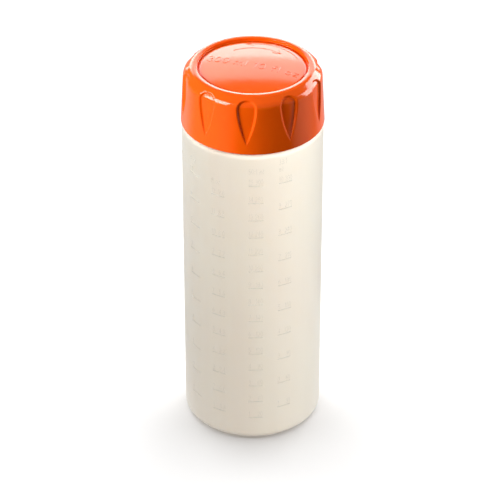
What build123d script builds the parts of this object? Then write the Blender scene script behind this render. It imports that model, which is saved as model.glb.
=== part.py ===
"""Graduated mixing bottle with a screw cap, in three moulded pieces.

The bottle is a straight translucent cylinder with a wide threaded neck and raised scale marks.
The screw cap is a tapered skirt with ten teardrop finger grips, a raised rim and a domed top.
The sealing disc lies between the cap's ceiling and the bottle's rim.

Units are millimetres. The origin is the centre of the base, on the surface that the bottle
stands on, and +Z runs up the bottle's axis. The scales face -Y.
"""

import os
from math import acos, cos, degrees, pi, radians, sin, sqrt

from build123d import *

# Bottle body
BODY_R = 29.0
WALL = 1.27
BASE_CORNER_R = 3.0
FOOT_INNER_R = 21.0
PUSH_UP = 2.3
PUSH_UP_SLOPE = 3.0
FLOOR = 1.5
SHOULDER_Z = 141.7
SHOULDER_R = 2.5

# Neck and its outside thread
NECK_R = 24.95
NECK_BORE_R = 23.2
RIM_Z = 162.2
RIM_EDGE = 0.5
THREAD_LEAD = 4.5
THREAD_DEPTH = 1.1
THREAD_ROOT_WIDTH = 2.4
THREAD_CREST_WIDTH = 1.0
THREAD_TURNS = 1.75
THREAD_SINK = 0.3
NECK_THREAD_Z = 149.6

# Scale marks: the column's direction from -Y in degrees, millilitres a mark, number of marks
SCALES = (
    (-54.5, 29.574, 10),
    (-29.2, 23.66, 12),
    (2.5, 20.0, 15),
    (27.2, 30.0, 10),
)
MARK_LENGTH = 6.8
MARK_WIDTH = 0.55
MARK_HEIGHT = 0.25
MARK_SINK = 0.4
CUBIC_MM_PER_ML = 1000.0

# Screw cap
SKIRT_Z = 142.0
SKIRT_R = 29.35
SKIRT_TOP_R = 28.3
SKIRT_TOP_Z = 161.75
SKIRT_EDGE = 0.4
CAP_TOP_Z = 165.75
CAP_SHOULDER_R = 4.0
LIP_Z = 166.65
LIP_FOOT_R = 24.2
LIP_INNER_R = 21.8
PANEL_EDGE_Z = 165.4
DOME_RISE = 1.1
CAP_BORE_R = 26.3
SEAL_THICKNESS = 1.2
SEAL_R = 26.05
SEAL_EDGE = 0.25
CEILING_HOLLOW_R = 21.5
CEILING_HOLLOW = 1.0

# How far the cap's thread ridge lies below the neck's, which leaves 0.25 mm at the loaded flank
THREAD_OFFSET = 1.95

# Teardrop finger grips in the cap's skirt
GRIPS = 10
GRIP_FIRST_ANGLE = -5.0
GRIP_TIP_Z = 147.2
GRIP_WIDE_Z = 160.6
GRIP_TOP_Z = 166.0
GRIP_END_R = 25.3
GRIP_HALF_WIDTH = 4.0
GRIP_TIP_SLOPE = 0.42
GRIP_TIP_MARGIN = 0.05
GRIP_DEPTH = 0.9
GRIP_FULL_DEPTH_Z = 155.0

BIG = 60.0
CUTTER_REACH = 1.0
SAME_POINT = 1e-6


def turned(points_and_arcs):
    """A solid turned about Z from a closed outline of edges in the XZ plane."""
    face = make_face(Wire(points_and_arcs))
    return revolve(face, Axis.Z, 360)


def at(r, z):
    """The point at radius r and height z of an outline in the XZ plane."""
    return Vector(r, 0, z)


def corner(centre_r, centre_z, radius, from_deg, to_deg):
    """A round corner of an outline: an arc about (centre_r, centre_z), angles from +r to +z."""
    mid = (from_deg + to_deg) / 2
    places = [
        at(centre_r + radius * cos(radians(a)), centre_z + radius * sin(radians(a)))
        for a in (from_deg, mid, to_deg)
    ]
    return ThreePointArc(*places)


def joined(pieces):
    """Closes a list of points and edges into edges end to end, with a line across each gap."""
    edges = []
    here = None
    for piece in pieces + pieces[:1]:
        start = piece if isinstance(piece, Vector) else piece @ 0
        if here is not None and (start - here).length > SAME_POINT:
            edges.append(Line(here, start))
        if isinstance(piece, Vector):
            here = piece
        elif len(edges) == 0 or piece is not pieces[0]:
            edges.append(piece)
            here = piece @ 1
    return edges


def cavity():
    """The space inside the body, from its floor to just under the shoulder."""
    inner_r = BODY_R - WALL
    inner_corner = BASE_CORNER_R - WALL
    top = SHOULDER_Z - SHOULDER_R
    return turned(
        joined(
            [
                at(0, PUSH_UP + FLOOR),
                at(FOOT_INNER_R - PUSH_UP_SLOPE, PUSH_UP + FLOOR),
                at(FOOT_INNER_R + FLOOR, FLOOR),
                corner(inner_r - inner_corner, FLOOR + inner_corner, inner_corner, -90, 0),
                at(inner_r, top),
                at(0, top),
            ]
        )
    )


def mark_heights(millilitres, count):
    """The height of each mark, from the volume that the body holds below it."""
    area = pi * (BODY_R - WALL) ** 2
    top = SHOULDER_Z - SHOULDER_R
    dead_z = top - cavity().volume / area
    spacing = millilitres * CUBIC_MM_PER_ML / area
    return [dead_z + spacing * n for n in range(1, count + 1)]


def scale_marks():
    """The raised marks of all the scales, as short bars on the body's wall."""
    bars = []
    half_angle = degrees(MARK_LENGTH / BODY_R / 2)
    for direction, millilitres, count in SCALES:
        for z in mark_heights(millilitres, count):
            section = make_face(
                Polyline(
                    at(BODY_R - MARK_SINK, z - MARK_WIDTH / 2),
                    at(BODY_R, z - MARK_WIDTH / 2),
                    at(BODY_R + MARK_HEIGHT, z - MARK_WIDTH / 4),
                    at(BODY_R + MARK_HEIGHT, z + MARK_WIDTH / 4),
                    at(BODY_R, z + MARK_WIDTH / 2),
                    at(BODY_R - MARK_SINK, z + MARK_WIDTH / 2),
                    close=True,
                )
            )
            bar = revolve(section, Axis.Z, 2 * half_angle)
            bars.append(bar.rotate(Axis.Z, direction - 90 - half_angle))
    return bars


def thread_ridge(root_r, crest_r, bottom_z):
    """One helical ridge, of trapezoid section, from root_r to crest_r, sunk into its wall."""
    outwards = 1 if crest_r > root_r else -1
    path = Helix(THREAD_LEAD, THREAD_LEAD * THREAD_TURNS, root_r, center=(0, 0, bottom_z))
    flat = Plane(origin=path @ 0, x_dir=(outwards, 0, 0), z_dir=path % 0)
    half_root = THREAD_ROOT_WIDTH / 2
    half_crest = THREAD_CREST_WIDTH / 2
    depth = abs(crest_r - root_r)
    section = flat * make_face(
        Polyline(
            (-THREAD_SINK, -half_root),
            (0, -half_root),
            (depth, -half_crest),
            (depth, half_crest),
            (0, half_root),
            (-THREAD_SINK, half_root),
            close=True,
        )
    )
    return sweep(section, path, is_frenet=True)


def bottle():
    """Body, shoulder, neck and rim turned as one shell, with the neck's thread and the marks."""
    inner_r = BODY_R - WALL
    inner_corner = BASE_CORNER_R - WALL
    shoulder_in = SHOULDER_R - WALL
    inside_shoulder_z = SHOULDER_Z - WALL
    shell = turned(
        joined(
            [
                at(0, PUSH_UP),
                at(FOOT_INNER_R - PUSH_UP_SLOPE, PUSH_UP),
                at(FOOT_INNER_R, 0),
                corner(BODY_R - BASE_CORNER_R, BASE_CORNER_R, BASE_CORNER_R, -90, 0),
                corner(BODY_R - SHOULDER_R, SHOULDER_Z - SHOULDER_R, SHOULDER_R, 0, 90),
                at(NECK_R, SHOULDER_Z),
                corner(NECK_R - RIM_EDGE, RIM_Z - RIM_EDGE, RIM_EDGE, 0, 90),
                corner(NECK_BORE_R + RIM_EDGE, RIM_Z - RIM_EDGE, RIM_EDGE, 90, 180),
                at(NECK_BORE_R, inside_shoulder_z),
                corner(inner_r - shoulder_in, inside_shoulder_z - shoulder_in, shoulder_in, 90, 0),
                corner(inner_r - inner_corner, FLOOR + inner_corner, inner_corner, 0, -90),
                at(FOOT_INNER_R + FLOOR, FLOOR),
                at(FOOT_INNER_R - PUSH_UP_SLOPE, PUSH_UP + FLOOR),
                at(0, PUSH_UP + FLOOR),
            ]
        )
    )
    thread = thread_ridge(NECK_R, NECK_R + THREAD_DEPTH, NECK_THREAD_Z)
    return shell.fuse(thread, *scale_marks())


def cap_outline():
    """The cap's outside from the skirt's lower edge up to the middle of the domed top."""
    lip_half = (LIP_FOOT_R - LIP_INNER_R) / 2
    lip_middle = LIP_FOOT_R - lip_half
    dome_r = (LIP_INNER_R**2 + DOME_RISE**2) / (2 * DOME_RISE)
    dome_edge_angle = degrees(acos(LIP_INNER_R / dome_r))
    return [
        at(SKIRT_R - SKIRT_EDGE, SKIRT_Z),
        at(SKIRT_R, SKIRT_Z + SKIRT_EDGE),
        at(SKIRT_TOP_R, SKIRT_TOP_Z),
        corner(SKIRT_TOP_R - CAP_SHOULDER_R, SKIRT_TOP_Z, CAP_SHOULDER_R, 0, 90),
        ThreePointArc(
            at(LIP_FOOT_R, CAP_TOP_Z),
            at(lip_middle, LIP_Z),
            at(LIP_INNER_R, CAP_TOP_Z),
        ),
        corner(0, PANEL_EDGE_Z + DOME_RISE - dome_r, dome_r, dome_edge_angle, 90),
    ]


def grip_floor():
    """A turned body whose outside is the bottom of the finger grips, and that spares the top."""
    shoulder_r = CAP_SHOULDER_R - GRIP_DEPTH
    centre_r = SKIRT_TOP_R - CAP_SHOULDER_R
    end_angle = degrees(acos((GRIP_END_R - centre_r) / shoulder_r))
    clear_z = LIP_Z + CUTTER_REACH
    deep_r = SKIRT_TOP_R - GRIP_DEPTH
    slope = (SKIRT_R - SKIRT_TOP_R) / (SKIRT_TOP_Z - SKIRT_Z)
    tip_r = SKIRT_R - slope * (GRIP_TIP_Z - SKIRT_Z) + GRIP_TIP_MARGIN
    full_r = SKIRT_R - slope * (GRIP_FULL_DEPTH_Z - SKIRT_Z) - GRIP_DEPTH
    return turned(
        joined(
            [
                at(0, SKIRT_Z - CUTTER_REACH),
                at(tip_r, SKIRT_Z - CUTTER_REACH),
                at(tip_r, GRIP_TIP_Z),
                at(full_r, GRIP_FULL_DEPTH_Z),
                at(deep_r, SKIRT_TOP_Z),
                corner(centre_r, SKIRT_TOP_Z, shoulder_r, 0, end_angle),
                at(GRIP_END_R, clear_z),
                at(0, clear_z),
            ]
        )
    )


def grip_cutters():
    """The material that the finger grips take out of the cap, one solid each."""
    side = Spline(
        (0, GRIP_TIP_Z),
        (GRIP_HALF_WIDTH, GRIP_WIDE_Z),
        tangents=[(GRIP_TIP_SLOPE, 1), (0, 1)],
    )
    head = ThreePointArc(
        (GRIP_HALF_WIDTH, GRIP_WIDE_Z),
        (GRIP_HALF_WIDTH / sqrt(2), GRIP_WIDE_Z + (GRIP_TOP_Z - GRIP_WIDE_Z) / sqrt(2)),
        (0, GRIP_TOP_Z),
    )
    half = [side, head]
    outline = half + [edge.mirror(Plane.YZ) for edge in half]
    front = Plane.XZ * make_face(Wire(outline))
    prism = extrude(front, BIG)
    teardrop = prism.cut(grip_floor())
    first = teardrop.rotate(Axis.Z, GRIP_FIRST_ANGLE)
    return [first.rotate(Axis.Z, 360 / GRIPS * n) for n in range(GRIPS)]


def screw_cap():
    """Skirt, shoulder, rim and domed top turned as one shell, with its grips and inside thread."""
    ceiling_z = RIM_Z + SEAL_THICKNESS
    shell = turned(
        joined(
            cap_outline()
            + [
                at(0, ceiling_z + CEILING_HOLLOW),
                at(CEILING_HOLLOW_R - 2 * CEILING_HOLLOW, ceiling_z + CEILING_HOLLOW),
                at(CEILING_HOLLOW_R, ceiling_z),
                at(CAP_BORE_R, ceiling_z),
                at(CAP_BORE_R, SKIRT_Z + SKIRT_EDGE),
                at(CAP_BORE_R + SKIRT_EDGE, SKIRT_Z),
            ]
        )
    )
    thread = thread_ridge(CAP_BORE_R, CAP_BORE_R - THREAD_DEPTH, NECK_THREAD_Z - THREAD_OFFSET)
    return shell.fuse(thread).cut(*grip_cutters())


def sealing_disc():
    """The soft disc that the cap presses on the rim, with chamfered edges."""
    disc = Pos(0, 0, RIM_Z + SEAL_THICKNESS / 2) * Cylinder(SEAL_R, SEAL_THICKNESS)
    return chamfer(disc.edges().filter_by(GeomType.CIRCLE), SEAL_EDGE)


def main():
    os.makedirs("parts", exist_ok=True)
    pieces = {
        "bottle": bottle(),
        "screw_cap": screw_cap(),
        "sealing_disc": sealing_disc(),
    }
    for name, piece in pieces.items():
        export_step(piece, f"parts/{name}.step")


main()
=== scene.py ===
"""A graduated mixing bottle with an orange screw cap, as computed surfaces round its CAD frame."""

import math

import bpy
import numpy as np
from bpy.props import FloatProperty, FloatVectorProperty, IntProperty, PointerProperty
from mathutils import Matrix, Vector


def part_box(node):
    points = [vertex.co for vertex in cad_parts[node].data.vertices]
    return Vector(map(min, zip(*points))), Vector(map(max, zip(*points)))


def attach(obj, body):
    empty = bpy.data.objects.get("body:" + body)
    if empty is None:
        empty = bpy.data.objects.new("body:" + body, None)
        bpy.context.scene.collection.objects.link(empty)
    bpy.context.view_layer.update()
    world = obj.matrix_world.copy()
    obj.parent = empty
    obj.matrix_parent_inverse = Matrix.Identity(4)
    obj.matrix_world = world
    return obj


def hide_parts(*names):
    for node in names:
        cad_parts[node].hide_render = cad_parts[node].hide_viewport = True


bl_info = {
    "name": "Graduated Mixing Bottle",
    "version": (1, 0, 0),
    "blender": (4, 5, 0),
    "location": "View3D > Sidebar > Bottle",
    "description": "Builds a graduated bottle with its raised scales, screw cap and sealing disc",
    "category": "Add Mesh",
}

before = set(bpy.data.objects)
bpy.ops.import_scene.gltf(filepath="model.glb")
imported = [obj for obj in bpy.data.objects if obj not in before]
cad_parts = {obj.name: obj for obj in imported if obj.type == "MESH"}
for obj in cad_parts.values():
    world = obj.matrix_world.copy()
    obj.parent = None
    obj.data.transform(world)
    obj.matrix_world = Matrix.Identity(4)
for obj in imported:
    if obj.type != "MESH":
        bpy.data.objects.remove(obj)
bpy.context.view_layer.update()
BOTTLE_LOW, BOTTLE_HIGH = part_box("bottle")
CAP_LOW, CAP_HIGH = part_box("screw_cap")
DISC_LOW, DISC_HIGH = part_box("sealing_disc")

MM = 0.001
MILLILITRE = 1e-6
FULL_TURN = 2 * math.pi
SAME_PLACE = 1e-4 * MM


# ---------------------------------------------------------------- settings


def length(name, description, default):
    """A size in metres."""
    return FloatProperty(
        name=name, description=description, default=default, unit="LENGTH", precision=5
    )


def angle(name, description, degrees):
    """An angle, given in degrees and kept in radians."""
    return FloatProperty(
        name=name, description=description, default=math.radians(degrees), unit="ROTATION"
    )


def share(name, description, default):
    """A number from 0 to 1."""
    return FloatProperty(
        name=name, description=description, default=default, min=0, max=1, subtype="FACTOR"
    )


def amount(name, description, default):
    """A plain number."""
    return FloatProperty(name=name, description=description, default=default)


def colour(name, description, default):
    """A colour, as linear red, green and blue."""
    return FloatVectorProperty(
        name=name, description=description, default=default, size=3, min=0, max=1, subtype="COLOR"
    )


class BottleSettings(bpy.types.PropertyGroup):
    """The blow-moulded bottle."""

    body_radius: length("Body Radius", "Outside radius of the body", BOTTLE_HIGH.x)
    rim_height: length("Rim Height", "Height of the rim above the table", BOTTLE_HIGH.z)
    wall: length("Wall", "Thickness of the body's wall", 1.27 * MM)
    floor: length("Floor", "Thickness of the floor", 1.5 * MM)
    foot_radius: length("Foot Radius", "Inside radius of the ring it stands on", 21.0 * MM)
    foot_corner: length("Foot Corner", "Radius of the lower corner", 3.0 * MM)
    push_up: length("Push-up", "How far the middle of the base is pushed up", 2.3 * MM)
    push_up_slope: length("Push-up Slope", "Width of the slope up to the middle", 3.0 * MM)
    shoulder_height: length("Shoulder Height", "Height of the flat shoulder", 141.7 * MM)
    shoulder_corner: length("Shoulder Corner", "Radius of the shoulder's corner", 2.5 * MM)
    neck_radius: length("Neck Radius", "Outside radius of the neck", 24.95 * MM)
    bore_radius: length("Bore Radius", "Inside radius of the neck", 23.2 * MM)
    rim_edge: length("Rim Edge", "Radius of the rim's two edges", 0.5 * MM)
    plastic: colour("Plastic", "Colour of the milky plastic", (0.94, 0.82, 0.70))


class ThreadSettings(bpy.types.PropertyGroup):
    """The screw thread that the neck and the cap share."""

    lead: length("Lead", "Rise in one turn", 4.5 * MM)
    depth: length("Depth", "Height of the ridge above its wall", 1.1 * MM)
    root_width: length("Root Width", "Width of the ridge at its wall", 2.4 * MM)
    crest_width: length("Crest Width", "Width of the ridge at its crest", 1.0 * MM)
    turns: amount("Turns", "Length of each ridge in turns", 1.75)
    start_height: length("Start Height", "Height of the neck ridge's lower end", 149.6 * MM)
    cap_drop: length("Cap Drop", "How far the cap's ridge lies below the neck's", 1.95 * MM)
    fade: angle("Fade", "Turn over which an end of the ridge fades out", 28.0)


class ScaleSettings(bpy.types.PropertyGroup):
    """The raised scales on the body."""

    mark_length: length("Mark Length", "Length of a mark round the body", 5.7 * MM)
    mark_width: length("Mark Width", "Width of a raised mark", 0.5 * MM)
    numeral_width: length("Numeral Width", "Width of a numeral's stroke", 0.26 * MM)
    numeral_size: length("Numeral Size", "Height of a numeral", 2.2 * MM)
    narrowing: share("Narrowing", "Width of the numerals as a share of their usual width", 0.62)
    numeral_gap: length("Numeral Gap", "Space between a mark and its numerals", 0.8 * MM)
    relief: length("Relief", "Height of marks and numerals above the wall", 0.22 * MM)
    clearness: share("Clearness", "How much of the wall below shows through a mark", 0.88)
    numeral_clearness: share("Numeral Clearness", "How much of the wall shows through a numeral", 0.95)
    sink: length("Sink", "Depth of their feet in the wall", 0.2 * MM)


class CapSettings(bpy.types.PropertyGroup):
    """The screw cap."""

    skirt_radius: length("Skirt Radius", "Outside radius at the lower edge", CAP_HIGH.x)
    skirt_height: length("Skirt Height", "Height of the lower edge above the table", CAP_LOW.z)
    skirt_top_radius: length("Top Radius", "Outside radius below the shoulder", 28.3 * MM)
    skirt_top_height: length("Shoulder Start", "Height where the shoulder starts", 161.75 * MM)
    skirt_edge: length("Skirt Edge", "Radius of the lower edge", 0.4 * MM)
    shoulder: length("Shoulder Radius", "Radius of the rounded shoulder", 4.0 * MM)
    rim_radius: length("Rim Radius", "Radius to the crest of the raised rim", 23.9 * MM)
    rim_roll: length("Rim Roll", "Radius of the rim's rounded crest", 2.4 * MM)
    rim_lean: angle("Rim Lean", "Slope of the rim's inner side down to the panel", 7.0)
    rim_edge: length("Rim Edge", "Radius of the edge above the panel", 0.15 * MM)
    panel_radius: length("Panel Radius", "Radius of the sunk panel", 22.6 * MM)
    panel_drop: length("Panel Drop", "Depth of the panel's edge below the rim", 1.3 * MM)
    dome_rise: length("Dome Rise", "Height of the panel's middle above its edge", 1.15 * MM)
    bore_radius: length("Bore Radius", "Inside radius of the skirt", 26.3 * MM)
    ceiling_hollow: length("Ceiling Hollow", "Depth of the hollow in the ceiling", 1.0 * MM)
    ceiling_radius: length("Ceiling Radius", "Outer radius of the hollow in the ceiling", 21.5 * MM)
    plastic: colour("Plastic", "Colour of the orange plastic", (0.88, 0.100, 0.002))


class GripSettings(bpy.types.PropertyGroup):
    """The teardrop finger grips in the cap."""

    count: IntProperty(name="Count", description="Number of grips round the cap", default=10, min=1)
    turn: angle("Turn", "Direction of the first grip from the front, to the right", -5.0)
    tip_height: length("Tip Height", "Height of the pointed tip above the skirt's edge", 4.2 * MM)
    long_part: length("Long Part", "Distance from the tip to the widest place", 15.8 * MM)
    head: length("Head", "Distance from the widest place to the round end", 4.2 * MM)
    half_width: length("Half Width", "Half of the width at the widest place", 4.1 * MM)
    depth: length("Depth", "Depth of the hollow", 0.95 * MM)
    edge: length("Edge", "Width of the slope down into the hollow", 0.75 * MM)


class CapMarkSettings(bpy.types.PropertyGroup):
    """The raised marks on the cap's panel."""

    turn: angle("Turn", "How far the marks are turned about the axis", -20.0)
    margin: length("Margin", "Space between the marks and the panel's edge", 3.2 * MM)
    word_drop: length("Word Drop", "How far in front of the axis the words stand", -0.5 * MM)
    arrow_gap: length("Arrow Gap", "Space between the two turning arrows", 4.0 * MM)
    barb: length("Barb", "Length of an arrow's head", 3.0 * MM)
    width: length("Width", "Width of a stroke", 0.32 * MM)
    relief: length("Relief", "Height of a stroke above the panel", 0.14 * MM)


class DiscSettings(bpy.types.PropertyGroup):
    """The sealing disc in the cap."""

    radius: length("Radius", "Radius of the disc", DISC_HIGH.x)
    low: length("Underside", "Height of its underside above the table", DISC_LOW.z)
    high: length("Upper Side", "Height of its upper side above the table", DISC_HIGH.z)
    edge: length("Edge", "Radius of its edges", 0.25 * MM)
    foam: colour("Foam", "Colour of the foam", (0.86, 0.86, 0.83))


class StageSettings(bpy.types.PropertyGroup):
    """The camera, the lights and the floor."""

    elevation: angle("Elevation", "How far the camera looks down", 33.35)
    distance: length("Distance", "From the camera to the point it looks at", 1.133)
    aim_height: length("Aim Height", "Height of the point that the camera looks at", 77.45 * MM)
    aim_side: length("Aim Side", "How far to the left of the axis the camera stands", 1.1 * MM)
    lens: amount("Lens", "Focal length in millimetres", 193.8)
    floor_size: length("Floor Size", "Side of the square floor", 12.0)
    floor: colour("Floor", "Colour of the floor", (0.86, 0.86, 0.86))
    daylight: amount("Daylight", "Brightness of the lit floor", 1.3)
    daylight_height: angle("Daylight Height", "Height of the daylight's middle", 52)
    daylight_spread: angle("Daylight Spread", "Width of the daylight in the sky", 60)
    backdrop: amount("Backdrop", "Brightness that the camera sees past the floor", 1.35)
    room: amount("Room", "Brightness of the room above the table", 0.2)
    table_left: amount("Table Left", "Brightness of the table's left", 0.4)
    table_right: amount("Table Right", "Brightness of the table's right", 0.6)
    table_back: amount("Table Back", "Brightness of the table's back", 0.6)


# ---------------------------------------------------------------- outlines and surfaces


def straight(start, end, steps=1):
    """Points in equal steps on the line from start to end."""
    return np.linspace(start, end, steps + 1)


def arc(centre, radius, start, end, steps=8):
    """Points on a circle: centre plus radius times cosine and sine of start to end degrees."""
    turn = np.radians(np.linspace(start, end, steps + 1))
    return np.asarray(centre) + radius * np.stack([np.cos(turn), np.sin(turn)], axis=1)


def outline(*stretches):
    """Stretches of points end to end, without points that repeat the one before."""
    points = np.vstack(stretches)
    moved = np.linalg.norm(np.diff(points, axis=0), axis=1) > SAME_PLACE
    return points[np.concatenate([[True], moved])]


def turned(profile, direction):
    """Radius r and height z at direction a: x is r times sine a, and y is minus r times cosine a."""
    radius, height = profile[:, :1], profile[:, 1:]
    x = radius * np.sin(direction)
    y = -radius * np.cos(direction)
    return np.stack([x, y, np.broadcast_to(height, x.shape)], axis=2)


def all_round(columns):
    """Directions in equal steps of one turn."""
    return np.linspace(0, FULL_TURN, columns, endpoint=False)[None, :]


def skin(grid):
    """A closed skin over a grid whose columns run round. Its first and last rows become points."""
    rows, columns = grid.shape[0] - 2, grid.shape[1]
    points = np.vstack([grid[0].mean(axis=0), grid[1:-1].reshape(-1, 3), grid[-1].mean(axis=0)])
    here = np.arange(rows * columns).reshape(rows, columns) + 1
    beside = np.roll(here, -1, axis=1)
    quads = np.stack([here[:-1], beside[:-1], beside[1:], here[1:]], axis=2).reshape(-1, 4)
    start = np.stack([np.zeros(columns, int), beside[0], here[0]], axis=1)
    end = np.stack([np.full(columns, len(points) - 1), here[-1], beside[-1]], axis=1)
    triangles = np.vstack([start, end])
    halves = np.vstack([quads[:, :3], quads[:, [0, 2, 3]], triangles])
    a, b, c = (points[halves[:, k]] for k in range(3))
    if np.einsum("ij,ij->", a, np.cross(b, c)) < 0:
        quads, triangles = quads[:, ::-1], triangles[:, ::-1]
    return points, quads, triangles


def joined(skins):
    """Several closed skins as one."""
    first = np.cumsum([0] + [len(points) for points, _, _ in skins[:-1]])
    points = np.vstack([s[0] for s in skins])
    quads = np.vstack([s[1] + n for s, n in zip(skins, first)])
    triangles = np.vstack([s[2] + n for s, n in zip(skins, first)])
    return points, quads, triangles


def make_piece(name, surface, material, body, replaced=()):
    """Makes a smooth mesh object of a skin, and has it ride on a CAD body."""
    points, quads, triangles = surface
    starts = np.concatenate(
        [np.arange(len(quads)) * 4, quads.size + np.arange(len(triangles)) * 3]
    )
    corners = np.concatenate([quads.ravel(), triangles.ravel()])
    mesh = bpy.data.meshes.new(name)
    mesh.vertices.add(len(points))
    mesh.vertices.foreach_set("co", points.astype(np.float32).ravel())
    mesh.loops.add(len(corners))
    mesh.loops.foreach_set("vertex_index", corners.astype(np.int32))
    mesh.polygons.add(len(starts))
    mesh.polygons.foreach_set("loop_start", starts.astype(np.int32))
    mesh.polygons.foreach_set("use_smooth", np.ones(len(starts), bool))
    mesh.update(calc_edges=True)
    mesh.validate()
    mesh.materials.append(material)
    piece = bpy.data.objects.new(name, mesh)
    bpy.context.scene.collection.objects.link(piece)
    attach(piece, body)
    if replaced:
        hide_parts(*replaced)
    return piece


# ---------------------------------------------------------------- beads and numerals

BEAD_COLUMNS = 10
BEAD_END_ROWS = 4
STROKE_STEPS = 12


def bead(path, width, relief, sink):
    """A raised bead along a flat path, with round ends, as (along, up, out of the wall).

    Across the path the bead is a half ellipse of the given width and relief on a foot of the
    given sink. Past each end its size follows the cosine of an angle that grows to 90 degrees
    while it goes on by half its width times the sine.
    """
    direction = np.gradient(path, axis=0)
    direction /= np.linalg.norm(direction, axis=1, keepdims=True)
    grow = np.linspace(math.pi / 2, 0, BEAD_END_ROWS, endpoint=False)
    reach = (np.sin(grow) * width / 2)[:, None]
    before = path[0] - direction[0] * reach
    after = path[-1] + direction[-1] * reach[::-1]
    middle = np.vstack([before, path, after])
    first = np.repeat(direction[:1], BEAD_END_ROWS, 0)
    last = np.repeat(direction[-1:], BEAD_END_ROWS, 0)
    ahead = np.vstack([first, direction, last])
    size = np.concatenate([np.cos(grow), np.ones(len(path)), np.cos(grow)[::-1]])[:, None]
    side = np.stack([-ahead[:, 1], ahead[:, 0]], axis=1)
    over = np.linspace(0, math.pi, BEAD_COLUMNS - 2)
    across = np.concatenate([[1], np.cos(over), [-1]]) * width / 2
    out = np.concatenate([[-sink], np.sin(over) * relief, [-sink]])
    flat = middle[:, None, :] + side[:, None, :] * (size * across)[:, :, None]
    height = np.where(out > 0, size * out, out)
    return np.concatenate([flat, height[:, :, None]], axis=2)


def curve(cx, cy, rx, ry, start, end):
    """A stroke of an ellipse about (cx, cy), through start to end degrees."""
    turn = np.radians(np.linspace(start, end, STROKE_STEPS + 1))
    return np.stack([cx + rx * np.cos(turn), cy + ry * np.sin(turn)], axis=1)


def lines(*corners):
    """Straight strokes from corner to corner, each a stroke of its own."""
    return [straight(a, b, 3) for a, b in zip(corners, corners[1:])]


# Strokes of each sign in a box one unit high, and the width of that box
SIGNS = {
    "0": ([curve(0.28, 0.5, 0.28, 0.5, 90, 450)], 0.56),
    "1": (lines((0.05, 0.76), (0.26, 1), (0.26, 0)), 0.36),
    "2": ([curve(0.28, 0.72, 0.27, 0.28, 165, -40)] + lines((0.49, 0.54), (0, 0), (0.57, 0)), 0.57),
    "3": ([curve(0.25, 0.76, 0.25, 0.24, 145, -90), curve(0.25, 0.26, 0.29, 0.26, 90, -150)], 0.54),
    "4": (lines((0.44, 0), (0.44, 1), (0, 0.3), (0.6, 0.3)), 0.6),
    "5": (lines((0.5, 1), (0.08, 1), (0.04, 0.56)) + [curve(0.25, 0.31, 0.3, 0.31, 130, -150)], 0.55),
    "6": ([curve(0.28, 0.3, 0.28, 0.3, 0, 360), curve(0.54, 0.34, 0.54, 0.66, 95, 180)], 0.56),
    "7": (lines((0, 1), (0.55, 1), (0.18, 0)), 0.55),
    "8": ([curve(0.28, 0.76, 0.23, 0.24, 0, 360), curve(0.28, 0.26, 0.28, 0.26, 0, 360)], 0.56),
    "9": ([curve(0.28, 0.7, 0.28, 0.3, 0, 360), curve(0.02, 0.66, 0.54, 0.66, -85, 0)], 0.56),
    ".": (lines((0.08, 0.02), (0.1, 0.02)), 0.18),
    ":": (lines((0.1, 0.12), (0.1, 0.16)) + lines((0.1, 0.56), (0.1, 0.6)), 0.2),
    "m": (
        lines((0, 0), (0, 0.62))
        + [curve(0.2, 0.42, 0.2, 0.2, 180, 0), curve(0.6, 0.42, 0.2, 0.2, 180, 0)]
        + lines((0.4, 0.42), (0.4, 0))
        + lines((0.8, 0.42), (0.8, 0)),
        0.8,
    ),
    "l": (lines((0.08, 0), (0.08, 1)), 0.16),
    "f": (
        [curve(0.34, 0.76, 0.18, 0.22, 60, 180)]
        + lines((0.16, 0.76), (0.16, 0))
        + lines((0, 0.6), (0.38, 0.6)),
        0.4,
    ),
    "o": ([curve(0.26, 0.3, 0.26, 0.3, 0, 360)], 0.52),
    "z": (lines((0, 0.6), (0.46, 0.6), (0, 0), (0.48, 0)), 0.48),
    " ": ([], 0.2),
}
SIGN_GAP = 0.26


def text_width(text):
    """Width of a line of signs one unit high: their boxes and the gaps between them."""
    return sum(SIGNS[sign][1] for sign in text) + SIGN_GAP * (len(text) - 1)


def written(text, size, left, foot, narrowing=1.0):
    """The strokes of a line of signs, of the given size, from its lower left corner."""
    strokes = []
    scale = np.array([size * narrowing, size])
    for sign in text:
        shapes, width = SIGNS[sign]
        strokes += [np.array([left, foot]) + shape * scale for shape in shapes]
        left += (width + SIGN_GAP) * scale[0]
    return strokes


def on_wall(flat, radius, direction):
    """Bends (along, up, out) round a wall: the angle is direction plus along over radius."""
    along, up, out = np.moveaxis(flat, 2, 0)
    turn = direction + along / radius
    return np.stack([(radius + out) * np.sin(turn), -(radius + out) * np.cos(turn), up], axis=2)


def on_dome(flat, turn, radius, top):
    """Lays (along, up, out) on a dome: turned about Z, then down by the sphere's sagitta."""
    along, up, out = np.moveaxis(flat, 2, 0)
    x = along * math.cos(turn) - up * math.sin(turn)
    y = along * math.sin(turn) + up * math.cos(turn)
    sagitta = radius - np.sqrt(radius**2 - x**2 - y**2)
    return np.stack([x, y, top - sagitta + out], axis=2)


# ---------------------------------------------------------------- the bottle

BODY_COLUMNS = 256
NECK_FILLET = 0.8 * MM
FOOT_ROLL = 0.9 * MM
FOOT_SLOPE_START = 0.1 * MM
FOOT_SLOPE_END = 0.3 * MM
FOOT_SLOPE_GAP = 0.6 * MM


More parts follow.
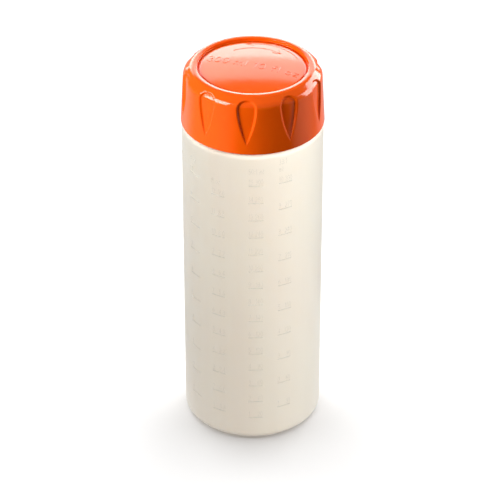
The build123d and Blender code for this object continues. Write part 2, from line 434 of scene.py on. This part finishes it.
def bottle_profile(b):
    """The bottle's outline from the middle of the base outside to the middle of the floor."""
    body, wall, corner = b.body_radius, b.wall, b.foot_corner
    shoulder, bend = b.shoulder_height, b.shoulder_corner
    inner = body - wall
    inner_corner = corner - wall
    inner_bend = bend - wall
    under = shoulder - wall
    slope_start = b.foot_radius - b.push_up_slope
    fillet = NECK_FILLET
    foot = b.foot_radius
    edge = b.rim_edge
    outside = outline(
        straight((0, b.push_up), (slope_start - MM, b.push_up), 6),
        straight(
            (slope_start, b.push_up - FOOT_SLOPE_START), (foot - FOOT_SLOPE_GAP, FOOT_SLOPE_END), 5
        ),
        arc((foot + FOOT_SLOPE_GAP, FOOT_ROLL), FOOT_ROLL, 225, 270, 5),
        arc((body - corner, corner), corner, -90, 0, 14),
        straight((body, corner), (body, shoulder - bend), 48),
        arc((body - bend, shoulder - bend), bend, 0, 90, 14),
        arc((b.neck_radius + fillet, shoulder + fillet), fillet, 270, 180, 8),
        straight((b.neck_radius, shoulder + fillet), (b.neck_radius, b.rim_height - edge), 12),
        arc((b.neck_radius - edge, b.rim_height - edge), edge, 0, 90, 6),
    )
    inside = outline(
        arc((b.bore_radius + edge, b.rim_height - edge), edge, 90, 180, 6),
        straight((b.bore_radius, b.rim_height - edge), (b.bore_radius, under), 10),
        arc((inner - inner_bend, under - inner_bend), inner_bend, 90, 0, 10),
        straight((inner, under - inner_bend), (inner, b.floor + inner_corner), 40),
        arc((inner - inner_corner, b.floor + inner_corner), inner_corner, 0, -90, 10),
        straight((foot + b.floor, b.floor), (slope_start, b.push_up + b.floor), 5),
        straight((slope_start - MM, b.push_up + b.floor), (0, b.push_up + b.floor), 6),
    )
    return outline(outside, inside)


THREAD_ROWS_A_TURN = 120
THREAD_SINK = 0.3 * MM
THREAD_EDGE = 0.25 * MM
THREAD_END_HEIGHT = 0.35


def thread_ridge(t, wall_radius, outwards, start_height):
    """A helical ridge: its middle rises by the lead in a turn, and its section is a trapezoid.

    Over the fade at each end the section's size follows a quarter of a sine.
    """
    rows = round(THREAD_ROWS_A_TURN * t.turns)
    turn = np.linspace(0, FULL_TURN * t.turns, rows)
    rise = start_height + t.lead * turn / FULL_TURN
    to_end = np.minimum(turn, turn[-1] - turn) / t.fade
    size = np.sin(np.clip(to_end, 0, 1) * math.pi / 2)
    root, crest, depth = t.root_width / 2, t.crest_width / 2, t.depth
    edge = THREAD_EDGE
    lean = (root - crest) / depth
    half = outline(
        straight((-THREAD_SINK, root), (0, root), 1),
        straight((0, root), (depth - edge, crest + lean * edge), 2),
        straight((depth - 0.3 * edge, crest + 0.1 * edge), (depth, crest - 0.6 * edge), 1),
        straight((depth, crest - 0.6 * edge), (depth, 0), 1),
    )
    section = np.vstack([half, half[-2::-1] * (1, -1)])
    out = section[:, 0]
    radius = wall_radius + outwards * np.where(out > 0, size[:, None] * out, out)
    height_share = THREAD_END_HEIGHT + (1 - THREAD_END_HEIGHT) * size[:, None]
    height = rise[:, None] + height_share * section[:, 1]
    direction = turn[:, None] + math.pi / 2
    grid = np.stack([radius * np.sin(direction), -radius * np.cos(direction), height], axis=2)
    return skin(np.concatenate([grid[:1], grid, grid[-1:]]))


# ---------------------------------------------------------------- the screw cap

COLUMNS_A_GRIP = 56
SKIRT_ROWS = 56
PANEL_FILLET = 0.2 * MM
GRIP_TAPER = 1.7
GRIP_NARROWEST = 0.5 * MM
GRIP_TIP_EDGE = 0.3
GRIP_SHALLOW_PART = 0.6
TINY = 1e-9


def grip_width(g, up):
    """Half width at a distance up from the tip: it grows as 1 - (1 - up / long part) to a power."""
    left = 1 - np.clip(up / g.long_part, 0, 1)
    return g.half_width * (1 - left**GRIP_TAPER)


def grip_hollow(g, side, up):
    """Depth of the hollow at a place on the cap's skin, by its distance from the outline.

    Below the widest place that distance is the half width less side, over the slope's length. Above
    it, it is one less the place's radius on the head's ellipse, over that radius' gradient. The
    depth eases from nothing to full over the edge, and is shallower towards the tip.
    """
    width = grip_width(g, up)
    left = 1 - np.clip(up / g.long_part, 0, 1)
    spread = g.half_width * GRIP_TAPER * left ** (GRIP_TAPER - 1) / g.long_part
    below = (width - np.abs(side)) / np.sqrt(1 + spread**2)
    past = np.maximum(up - g.long_part, 0)
    ring = np.hypot(side / g.half_width, past / g.head) + TINY
    gradient = np.hypot(side / g.half_width**2, past / g.head**2) / ring + TINY
    inside = np.where(up < g.long_part, below, (1 - ring) / gradient)
    edge = g.edge * (GRIP_TIP_EDGE + (1 - GRIP_TIP_EDGE) * width / g.half_width)
    ease = np.clip(inside / edge, 0, 1)
    ease = ease * ease * (3 - 2 * ease)
    shallow = 1 - (1 - np.clip(up / (GRIP_SHALLOW_PART * g.long_part), 0, 1)) ** 2
    return g.depth * shallow * ease


def dome_sphere(c):
    """The radius of the panel's sphere, and the height of its top."""
    radius = (c.panel_radius**2 + c.dome_rise**2) / (2 * c.dome_rise)
    return radius, CAP_HIGH.z - c.panel_drop + c.dome_rise


def cap_outside(c):
    """The cap's outside as (radius, height), from the middle of the dome to the skirt's edge."""
    panel_edge = CAP_HIGH.z - c.panel_drop
    fillet = PANEL_FILLET
    dome, panel_top = dome_sphere(c)
    slope = math.degrees(math.asin((c.panel_radius - fillet) / dome))
    lean = 90 + math.degrees(c.rim_lean)
    crest = (c.rim_radius, CAP_HIGH.z - c.rim_roll)
    inner_end = arc(crest, c.rim_roll, lean, lean, 1)[0]
    edge_middle = c.panel_radius + c.rim_edge
    fall = (inner_end[0] - edge_middle) * math.tan(c.rim_lean)
    edge_height = inner_end[1] - fall - c.rim_edge / math.cos(c.rim_lean)
    shoulder_middle = (c.skirt_top_radius - c.shoulder, c.skirt_top_height)
    across = shoulder_middle[0] - crest[0]
    down = crest[1] - shoulder_middle[1]
    tangent = math.degrees(
        math.acos((c.rim_roll - c.shoulder) / math.hypot(across, down)) - math.atan2(down, across)
    )
    roll = arc(crest, c.rim_roll, lean, tangent, 12)
    bend = arc(shoulder_middle, c.shoulder, tangent, 0, 34)
    return outline(
        arc((0, panel_top - dome), dome, 90, 90 - slope, 14),
        arc((c.panel_radius - fillet, panel_edge + fillet), fillet, -90, 0, 5),
        arc((edge_middle, edge_height), c.rim_edge, 180, lean, 6),
        roll,
        straight(roll[-1], bend[0], 18),
        bend,
        straight(
            (c.skirt_top_radius, c.skirt_top_height),
            (c.skirt_radius, c.skirt_height + c.skirt_edge),
            SKIRT_ROWS,
        ),
    )


def cap_inside(c, ceiling):
    """The cap's lower edge and inside as (radius, height), up to the middle of the ceiling."""
    edge = c.skirt_edge
    low = c.skirt_height
    hollow = c.ceiling_hollow
    return outline(
        arc((c.skirt_radius - edge, low + edge), edge, -10, -90, 5),
        arc((c.bore_radius + edge, low + edge), edge, 270, 180, 5),
        straight((c.bore_radius, low + edge), (c.bore_radius, ceiling), 6),
        straight((c.bore_radius, ceiling), (c.ceiling_radius, ceiling), 3),
        straight((c.ceiling_radius - 2 * hollow, ceiling + hollow), (0, ceiling + hollow), 4),
    )


def cap_skin(c, g, ceiling):
    """The whole cap: its turned profile, pressed in along its normal by the grips' hollows.

    In each grip's stretch half of the columns lie inside the outline's half width and half lie
    outside it, so that the columns follow the outline. Distance up the skin is measured along the
    profile from the tip.
    """
    outside = cap_outside(c)
    profile = np.vstack([outside, cap_inside(c, ceiling)])
    step = np.linalg.norm(np.diff(profile, axis=0), axis=1)
    run = np.concatenate([[0], np.cumsum(step)])
    skirt = slice(len(outside) - SKIRT_ROWS - 1, len(outside))
    tip_run = np.interp(-c.skirt_height - g.tip_height, -profile[skirt, 1], run[skirt])
    up = tip_run - run
    tangent = np.gradient(profile, axis=0)
    tangent /= np.linalg.norm(tangent, axis=1, keepdims=True)
    normal = np.stack([-tangent[:, 1], tangent[:, 0]], axis=1)
    stretch = FULL_TURN / g.count
    radius = np.maximum(profile[:, 0], g.half_width * 2)[:, None]
    width = np.minimum(np.maximum(grip_width(g, up), GRIP_NARROWEST)[:, None] / radius, stretch / 4)
    place = np.linspace(-1, 1, COLUMNS_A_GRIP, endpoint=False)[None, :]
    within = np.clip(place * 2, -1, 1) * width
    beyond = np.sign(place) * np.clip(np.abs(place) * 2 - 1, 0, 1) * (stretch / 2 - width)
    local = within + beyond
    hollow = grip_hollow(g, local * radius, np.broadcast_to(up[:, None], local.shape))
    on_skirt = (np.arange(len(profile)) < len(outside)) & (profile[:, 0] > c.rim_radius)
    hollow = np.tile(hollow * on_skirt[:, None], g.count)
    middles = g.turn + stretch * np.arange(g.count)
    direction = (middles[None, :, None] + local[:, None, :]).reshape(len(profile), -1)
    grid = np.stack(
        [
            (profile[:, :1] - normal[:, :1] * hollow) * np.sin(direction),
            -(profile[:, :1] - normal[:, :1] * hollow) * np.cos(direction),
            profile[:, 1:] - normal[:, 1:] * hollow,
        ],
        axis=2,
    )
    return skin(grid)


# ---------------------------------------------------------------- finishes


class Field:
    """A number that varies over a surface: a socket, with Math nodes for its operators."""

    def __init__(self, finish, socket):
        self.finish = finish
        self.socket = socket

    def joined_with(self, operation, first, second):
        """A Math node of this operation, on two fields or numbers."""
        settings = {"operation": operation}
        made = self.finish.node("ShaderNodeMath", settings, {0: first, 1: second})
        return Field(self.finish, made.outputs[0])

    def __add__(self, other):
        return self.joined_with("ADD", self, other)

    __radd__ = __add__

    def __sub__(self, other):
        return self.joined_with("SUBTRACT", self, other)

    def __rsub__(self, other):
        return self.joined_with("SUBTRACT", other, self)

    def __mul__(self, other):
        return self.joined_with("MULTIPLY", self, other)

    __rmul__ = __mul__


class Nodes:
    """A node tree, with short ways to add nodes to it."""

    def __init__(self, tree):
        self.tree = tree
        self.tree.nodes.clear()

    def node(self, kind, settings=None, inputs=None):
        """Adds a node, sets it, and gives its inputs their values or links."""
        made = self.tree.nodes.new(kind)
        for key, value in (settings or {}).items():
            setattr(made, key, value)
        for key, value in (inputs or {}).items():
            socket = value.socket if isinstance(value, Field) else value
            if isinstance(socket, bpy.types.NodeSocket):
                self.tree.links.new(socket, made.inputs[key])
            else:
                made.inputs[key].default_value = socket
        return made

    def coordinate(self, kind):
        """A place or direction to make patterns on."""
        return self.node("ShaderNodeTexCoord").outputs[kind]

    def noise(self, place, stretch, detail=3.0):
        """Noise from 0 to 1, with cells that many to the metre along X, Y and Z."""
        mapped = self.node("ShaderNodeMapping", None, {"Vector": place, "Scale": stretch})
        inputs = {"Vector": mapped.outputs[0], "Scale": 1.0, "Detail": detail}
        return Field(self, self.node("ShaderNodeTexNoise", None, inputs).outputs["Fac"])

    def ramp(self, value, low, high):
        """0 below low and 1 above high, smoothly."""
        settings = {"interpolation_type": "SMOOTHSTEP"}
        inputs = {"Value": value, "From Min": low, "From Max": high}
        return Field(self, self.node("ShaderNodeMapRange", settings, inputs).outputs[0])

    def blend(self, mask, first, second):
        """One colour where the mask is 0, and the other where it is 1."""
        ends = [(*end, 1) if isinstance(end, tuple) else end for end in (first, second)]
        inputs = {0: mask, 6: ends[0], 7: ends[1]}
        return self.node("ShaderNodeMix", {"data_type": "RGBA"}, inputs).outputs[2]

    def bump(self, height, distance):
        """A normal for a relief that is distance high where height is 1."""
        inputs = {"Height": height, "Distance": distance, "Strength": 1.0}
        return self.node("ShaderNodeBump", None, inputs).outputs[0]


class Finish(Nodes):
    """A material on the object's own coordinates, which ends in one Principled shader."""

    def __init__(self, name):
        self.material = bpy.data.materials.new(name)
        self.material.use_nodes = True
        super().__init__(self.material.node_tree)
        self.place = self.coordinate("Object")

    def noise(self, stretch, detail=3.0):
        """Noise over the object."""
        return super().noise(self.place, stretch, detail)

    def done(self, inputs):
        """Ends the material in one Principled shader with these inputs."""
        shader = self.node("ShaderNodeBsdfPrincipled", {"subsurface_method": "RANDOM_WALK"}, inputs)
        self.node("ShaderNodeOutputMaterial", None, {"Surface": shader.outputs[0]})
        return self.material


def scaled(colour_value, factor):
    """A colour made darker or lighter by a factor."""
    return tuple(min(1.0, channel * factor) for channel in colour_value)


def milky_plastic(name, plastic, painted_shade=1.0, alpha=1.0):
    """Translucent polyethylene: cloudy colour with faint upright flow lines and a satin skin. A
    darkening factor below 1 paints shade into the whole colour.
    """
    f = Finish(name)
    cloud = f.noise((38, 38, 22), detail=4)
    flow = f.noise((260, 260, 5), detail=2)
    mottle = f.ramp(cloud * 0.6 + flow * 0.4, 0.35, 0.65)
    # Below 1, the darkening factor darkens the whole colour: painted shade, not the plastic's own tint
    body = f.blend(mottle, scaled(plastic, 0.985 * painted_shade), scaled(plastic, 1.01 * painted_shade))
    grain = f.noise((1500, 1500, 1500), detail=2)
    waves = f.noise((55, 55, 30), detail=1)
    return f.done(
        {
            "Base Color": body,
            "Roughness": 0.30 + 0.10 * cloud + 0.05 * flow,
            "Normal": f.bump(grain * 0.12 + waves * 0.88, 0.12 * MM),
            "Subsurface Weight": 1.0,
            "Subsurface Radius": (1.0, 1.0, 1.0),
            "Subsurface Scale": 1.0 * MM,
            "Alpha": alpha,
            "IOR": 1.51,
        }
    )


def orange_plastic(name, plastic):
    """Moulded polypropylene: even colour with faint flow clouds and a smooth, slightly waved gloss."""
    f = Finish(name)
    cloud = f.noise((45, 45, 45), detail=3)
    grain = f.noise((1300, 1300, 1300), detail=2)
    waves = f.noise((120, 120, 120), detail=1)
    body = f.blend(f.ramp(cloud, 0.3, 0.7), scaled(plastic, 0.96), scaled(plastic, 1.03))
    return f.done(
        {
            "Base Color": body,
            "Roughness": 0.07 + 0.05 * cloud + 0.03 * grain,
            "Normal": f.bump(grain * 0.1 + waves * 0.9, 0.03 * MM),
            "Subsurface Weight": 0.12,
            "Subsurface Radius": (1.0, 0.35, 0.12),
            "Subsurface Scale": 1.2 * MM,
            "IOR": 1.49,
        }
    )


def foam_plastic(name, foam):
    """Closed-cell foam: matt, with fine cells pressed into its skin."""
    f = Finish(name)
    cells = f.noise((2200, 2200, 2200), detail=3)
    cloud = f.noise((90, 90, 90), detail=2)
    return f.done(
        {
            "Base Color": f.blend(cloud, scaled(foam, 0.94), scaled(foam, 1.04)),
            "Roughness": 0.62 + 0.2 * cells,
            "Normal": f.bump(cells, 0.08 * MM),
            "IOR": 1.45,
        }
    )


def floor_paper(name, paper):
    """Plain pale backdrop paper with a very faint tooth."""
    f = Finish(name)
    tooth = f.noise((400, 400, 400), detail=3)
    return f.done(
        {
            "Base Color": f.blend(tooth, scaled(paper, 0.995), scaled(paper, 1.0)),
            "Roughness": 0.85,
            "Specular IOR Level": 0.1,
        }
    )


# ---------------------------------------------------------------- operators


class BuildBottle(bpy.types.Operator):
    """Build the bottle's body, shoulder, neck and rim, and its neck thread"""

    bl_idname = "bottle.build_bottle"
    bl_label = "Build Bottle"

    def execute(self, context):
        b = context.scene.bottle
        t = context.scene.bottle_thread
        plastic = milky_plastic("milky_plastic", b.plastic)
        shell = skin(turned(bottle_profile(b), all_round(BODY_COLUMNS)))
        make_piece("bottle_shell", shell, plastic, "bottle", ["bottle"])
        ridge = thread_ridge(t, b.neck_radius, 1, t.start_height)
        make_piece("neck_thread", ridge, plastic, "bottle")
        return {"FINISHED"}


# Each scale: name, direction from the front in degrees, millilitres a mark, marks, the two
# numbers beside mark n, and the heading over it
SCALES = (
    ("fluid_ounce", -54.5, 29.574, 10, lambda n: (f"{n}", ""), ("fl oz",)),
    ("small_ounce", -29.2, 23.66, 12, lambda n: (f"{n}", f"{0.8 * n:.1f}"), ("fl oz",)),
    ("fifty_to_one", 2.5, 20.0, 15, lambda n: (f"{n}", f"{20 * n}"), ("50:1 ml",)),
    ("thirty_three_to_one", 27.2, 30.0, 10, lambda n: (f"{n}", f"{30 * n}"), ("33:1", "ml")),
)
INSIDE_FLOOR = 3.0 * MM
# Marks and numerals get this share of the wall's colour: painted shade for raised plastic that lets
# less light through and is shaded at its edges
MARK_PAINTED_SHADE = 0.6
# In heights of a numeral: the heading above the uppermost mark's numerals, and the heading's rows
HEADING_RISE = 2.2
HEADING_ROW = 1.5


class BuildScales(bpy.types.Operator):
    """Build the raised marks and numerals of the four scales"""

    bl_idname = "bottle.build_scales"
    bl_label = "Build Scales"

    def execute(self, context):
        b = context.scene.bottle
        s = context.scene.bottle_scales
        # The marks' and numerals' materials are painted darker than the wall: painted shade
        mark_painted_shade_plastic = milky_plastic("milky_mark", b.plastic, MARK_PAINTED_SHADE, 1 - s.clearness)
        numeral_alpha = 1 - s.numeral_clearness
        numeral_painted_shade_plastic = milky_plastic("milky_numeral", b.plastic, MARK_PAINTED_SHADE, numeral_alpha)
        area = math.pi * (b.body_radius - b.wall) ** 2
        for name, direction, millilitres, marks, numbers, heading in SCALES:
            left, right = -s.mark_length / 2, s.mark_length / 2
            mark_paths, numeral_paths = [], []
            for n in range(1, marks + 1):
                z = INSIDE_FLOOR + n * millilitres * MILLILITRE / area
                mark_paths.append(straight((left, z), (right, z), 12))
                first, second = numbers(n)
                foot = z + s.numeral_gap
                numeral_paths += written(first, s.numeral_size, left, foot, s.narrowing)
                start = right - text_width(second) * s.numeral_size * s.narrowing
                numeral_paths += written(second, s.numeral_size, start, foot, s.narrowing)
            top = z + s.numeral_gap + HEADING_RISE * s.numeral_size
            for row, words in enumerate(reversed(heading)):
                foot = top + HEADING_ROW * row * s.numeral_size
                numeral_paths += written(words, s.numeral_size, left, foot, s.narrowing)
            for kind, paths, width, plastic in (
                ("marks", mark_paths, s.mark_width, mark_painted_shade_plastic),
                ("numerals", numeral_paths, s.numeral_width, numeral_painted_shade_plastic),
            ):
                beads = [bead(path, width, s.relief, s.sink) for path in paths]
                turned_to = math.radians(direction)
                skins = [skin(on_wall(flat, b.body_radius, turned_to)) for flat in beads]
                surface = joined(skins)
                make_piece(f"{name}_{kind}", surface, plastic, "bottle")
        return {"FINISHED"}


CAP_WORDS = "300 ml 10 fl oz"
# Where each arrow on the cap starts and ends, in degrees from the right
OUTER_ARROW = (40, 118)
INNER_ARROW = (140, 62)
BARB_SPREAD = 0.6


class BuildCap(bpy.types.Operator):
    """Build the screw cap with its finger grips, raised rim, dome and inside thread"""

    bl_idname = "bottle.build_cap"
    bl_label = "Build Screw Cap"

    def execute(self, context):
        c = context.scene.bottle_cap
        g = context.scene.bottle_grips
        t = context.scene.bottle_thread
        plastic = orange_plastic("orange_plastic", c.plastic)
        shell = cap_skin(c, g, DISC_HIGH.z)
        make_piece("cap_shell", shell, plastic, "screw_cap", ["screw_cap"])
        ridge = thread_ridge(t, c.bore_radius, -1, t.start_height - t.cap_drop)
        make_piece("cap_thread", ridge, plastic, "screw_cap")
        return {"FINISHED"}


def turn_arrow(radius, start, end, barb):
    """Strokes of an arrow round the axis from start to end degrees, with a barbed head."""
    shaft = arc((0, 0), radius, start, end, 24)
    tip = shaft[-1]
    ahead = (tip - shaft[-2]) / np.linalg.norm(tip - shaft[-2])
    side = np.array([-ahead[1], ahead[0]]) * BARB_SPREAD
    barbs = [straight(tip, tip + (side * way - ahead) * barb, 3) for way in (-1, 1)]
    return [shaft] + barbs


class BuildCapMarks(bpy.types.Operator):
    """Build the raised turning arrows and the size on the cap's panel"""

    bl_idname = "bottle.build_cap_marks"
    bl_label = "Build Cap Marks"

    def execute(self, context):
        c = context.scene.bottle_cap
        m = context.scene.bottle_cap_marks
        size = (c.panel_radius * 2 - m.margin * 2) / text_width(CAP_WORDS)
        paths = written(CAP_WORDS, size, -size * text_width(CAP_WORDS) / 2, -m.word_drop - size / 2)
        paths += turn_arrow(c.panel_radius - m.margin, *OUTER_ARROW, m.barb)
        paths += turn_arrow(c.panel_radius - m.margin - m.arrow_gap, *INNER_ARROW, m.barb)
        dome, top = dome_sphere(c)
        beads = [bead(path, m.width, m.relief, m.relief) for path in paths]
        skins = [skin(on_dome(flat, m.turn, dome, top)) for flat in beads]
        plastic = orange_plastic("orange_relief", c.plastic)
        make_piece("cap_marks", joined(skins), plastic, "screw_cap")
        return {"FINISHED"}


class BuildDisc(bpy.types.Operator):
    """Build the sealing disc that lies between the rim and the cap's ceiling"""

    bl_idname = "bottle.build_disc"
    bl_label = "Build Sealing Disc"

    def execute(self, context):
        d = context.scene.bottle_disc
        profile = outline(
            straight((0, d.low), (d.radius - d.edge, d.low), 12),
            arc((d.radius - d.edge, d.low + d.edge), d.edge, -90, 0, 5),
            arc((d.radius - d.edge, d.high - d.edge), d.edge, 0, 90, 5),
            straight((d.radius - d.edge, d.high), (0, d.high), 12),
        )
        disc = skin(turned(profile, all_round(BODY_COLUMNS)))
        foam = foam_plastic("sealing_foam", d.foam)
        make_piece("sealing_disc_foam", disc, foam, "sealing_disc", ["sealing_disc"])
        return {"FINISHED"}


WHITE = (1.0, 1.0, 1.0)
COOL = (0.9, 0.96, 1.0)
# Each lamp: name, what it lights, direction from the front and height in degrees, distance, width
# and height of its soft panel in metres, its brightness, where lit white paper is 1, and its tint.
# The bottle has lamps of its own all round, as light comes through its milky walls from all sides
LAMPS = (
    ("left_softbox", "cap", -62, 28, 0.8, 0.60, 0.40, 14.0, WHITE),
    ("right_softbox", "cap", 115, 18, 0.9, 0.90, 0.60, 8.0, WHITE),
    ("low_backdrop", "object", 180, 17, 1.2, 1.5, 0.50, 5.6, WHITE),
    ("high_backdrop", "object", 180, 33.5, 1.2, 1.5, 0.23, 2.8, WHITE),
    ("front_fill", "bottle", 0, 35, 0.30, 0.28, 0.28, 2.8, WHITE),
    ("right_fill", "bottle", 75, 35, 0.35, 0.32, 0.32, 3.0, COOL),
    ("left_fill", "bottle", -100, 35, 0.30, 0.28, 0.28, 2.7, COOL),
    ("table_glow", "bottle", 60, -80, 0.12, 0.3, 0.3, 0.55, WHITE),
)
# Directions from the front of the wide, soft daylight on the floor
FLOOR_DAYLIGHT = (-115, 180, 115)
SENSOR_WIDTH = 36
NEAREST_SEEN, FARTHEST_SEEN = 0.05, 50


def way_to(turn, lift):
    """The way to a place at this turn from the front and this height over the horizon."""
    level = math.cos(lift)
    return Vector((math.sin(turn) * level, -math.cos(turn) * level, math.sin(lift)))


def facing_back(data, towards):
    """A lamp or camera that stands the given way off and looks back, placed at the origin."""
    made = bpy.data.objects.new(data.name, data)
    made.rotation_euler = towards.to_track_quat("Z", "Y").to_euler()
    bpy.context.scene.collection.objects.link(made)
    return made


class BuildStage(bpy.types.Operator):
    """Set up the floor, the soft lamps and the camera"""

    bl_idname = "bottle.build_stage"
    bl_label = "Build Stage"

    def execute(self, context):
        s = context.scene.bottle_stage
        half = s.floor_size / 2
        mesh = bpy.data.meshes.new("floor")
        corners = [(-half, -half, 0), (half, -half, 0), (half, half, 0), (-half, half, 0)]
        mesh.from_pydata(corners, [], [(0, 1, 2, 3)])
        mesh.materials.append(floor_paper("floor_paper", s.floor))
        floor = bpy.data.objects.new("floor", mesh)
        context.scene.collection.objects.link(floor)
        floor.visible_diffuse = floor.visible_glossy = False
        aim = Vector((-s.aim_side, 0, s.aim_height))
        groups = self.lit_groups(floor)
        for name, lit, *place in LAMPS:
            lamp = self.add_lamp(aim, name, *place)
            lamp.light_linking.receiver_collection = groups[lit]
            lamp.light_linking.blocker_collection = groups["object"]
        for direction in FLOOR_DAYLIGHT:
            lamp = self.add_daylight(s, math.radians(direction))
            lamp.light_linking.receiver_collection = groups["floor"]
        self.add_room(context, s)
        self.add_camera(context, s, aim)
        context.scene.view_settings.view_transform = "Standard"
        return {"FINISHED"}

    def add_lamp(self, aim, name, direction, height, away, wide, tall, brightness, tint):
        """A soft panel that faces the bottle."""
        towards = way_to(math.radians(direction), math.radians(height))
        light = bpy.data.lights.new(name, "AREA")
        light.shape = "RECTANGLE"
        light.size, light.size_y = wide, tall
        light.energy = brightness * math.pi * wide * tall
        light.color = tint
        lamp = facing_back(light, towards)
        lamp.location = aim + towards * away
        return lamp

    def lit_groups(self, floor):
        """The pieces that a lamp may light: the cap, the bottle, both of them, or the floor."""
        pieces = [piece for piece in bpy.data.objects if piece.type == "MESH" and piece != floor]
        cap = [piece for piece in pieces if piece.name.startswith(("cap", "sealing"))]
        bottle = [piece for piece in pieces if piece not in cap]
        members = {"cap": cap, "bottle": bottle, "object": pieces, "floor": [floor]}
        groups = {name: bpy.data.collections.new("lit_" + name) for name in members}
        for name, group in groups.items():
            for member in members[name]:
                group.objects.link(member)
        return groups

    def add_daylight(self, s, turn):
        """A wide, soft light from far away."""
        light = bpy.data.lights.new("daylight", "SUN")
        light.energy = s.daylight * math.pi / math.sin(s.daylight_height) / len(FLOOR_DAYLIGHT)
        light.angle = s.daylight_spread
        return facing_back(light, way_to(turn, s.daylight_height))

    def add_room(self, context, s):
        """A dim room over a table that is pale to the left, right and back, and dark in front.

        The camera itself sees an even backdrop in its place.
        """
        world = bpy.data.worlds.new("studio")
        world.use_nodes = True
        n = Nodes(world.node_tree)
        split = n.node("ShaderNodeSeparateXYZ", None, {0: n.coordinate("Generated")})
        right, back, up = (Field(n, socket) for socket in split.outputs)
        table = s.table_right * n.ramp(right, 0.78, 0.9)
        table += s.table_left * n.ramp(-1 * right, 0.3, 0.7)
        table += s.table_back * n.ramp(back, 0.2, 0.6)
        above = n.ramp(up, -0.05, 0.05)
        seen = Field(n, n.node("ShaderNodeLightPath").outputs["Is Camera Ray"])
        lighting = above * s.room + (1 - above) * table
        light = seen * s.backdrop + (1 - seen) * lighting
        sky = n.node("ShaderNodeBackground", None, {"Strength": light})
        n.node("ShaderNodeOutputWorld", None, {"Surface": sky.outputs[0]})
        context.scene.world = world

    def add_camera(self, context, s, aim):
        """The camera looks down on the scales from the front."""
        data = bpy.data.cameras.new("camera")
        data.lens = s.lens
        data.sensor_width = SENSOR_WIDTH
        data.clip_start, data.clip_end = NEAREST_SEEN, FARTHEST_SEEN
        back = way_to(0, s.elevation)
        camera = facing_back(data, back)
        camera.location = aim + back * s.distance
        context.scene.camera = camera


class BottlePanel(bpy.types.Panel):
    """Lists the steps that build the bottle"""

    bl_idname = "VIEW3D_PT_bottle"
    bl_label = "Graduated Bottle"
    bl_space_type = "VIEW_3D"
    bl_region_type = "UI"
    bl_category = "Bottle"

    def draw(self, context):
        for operator in OPERATORS:
            self.layout.operator(operator.bl_idname)
        for name in SETTINGS:
            self.layout.separator()
            group = getattr(context.scene, name)
            for key in group.__annotations__:
                self.layout.prop(group, key)


SETTINGS = {
    "bottle": BottleSettings,
    "bottle_thread": ThreadSettings,
    "bottle_scales": ScaleSettings,
    "bottle_cap": CapSettings,
    "bottle_grips": GripSettings,
    "bottle_cap_marks": CapMarkSettings,
    "bottle_disc": DiscSettings,
    "bottle_stage": StageSettings,
}
OPERATORS = (BuildBottle, BuildScales, BuildCap, BuildCapMarks, BuildDisc, BuildStage)


def register():
    for name, group in SETTINGS.items():
        bpy.utils.register_class(group)
        setattr(bpy.types.Scene, name, PointerProperty(type=group))
    for operator in OPERATORS:
        bpy.utils.register_class(operator)
    bpy.utils.register_class(BottlePanel)


def unregister():
    bpy.utils.unregister_class(BottlePanel)
    for operator in reversed(OPERATORS):
        bpy.utils.unregister_class(operator)
    for name, group in reversed(SETTINGS.items()):
        delattr(bpy.types.Scene, name)
        bpy.utils.unregister_class(group)


def main():
    register()
    bpy.ops.bottle.build_bottle()
    bpy.ops.bottle.build_scales()
    bpy.ops.bottle.build_cap()
    bpy.ops.bottle.build_cap_marks()
    bpy.ops.bottle.build_disc()
    bpy.ops.bottle.build_stage()


if __name__ == "__main__":
    main()
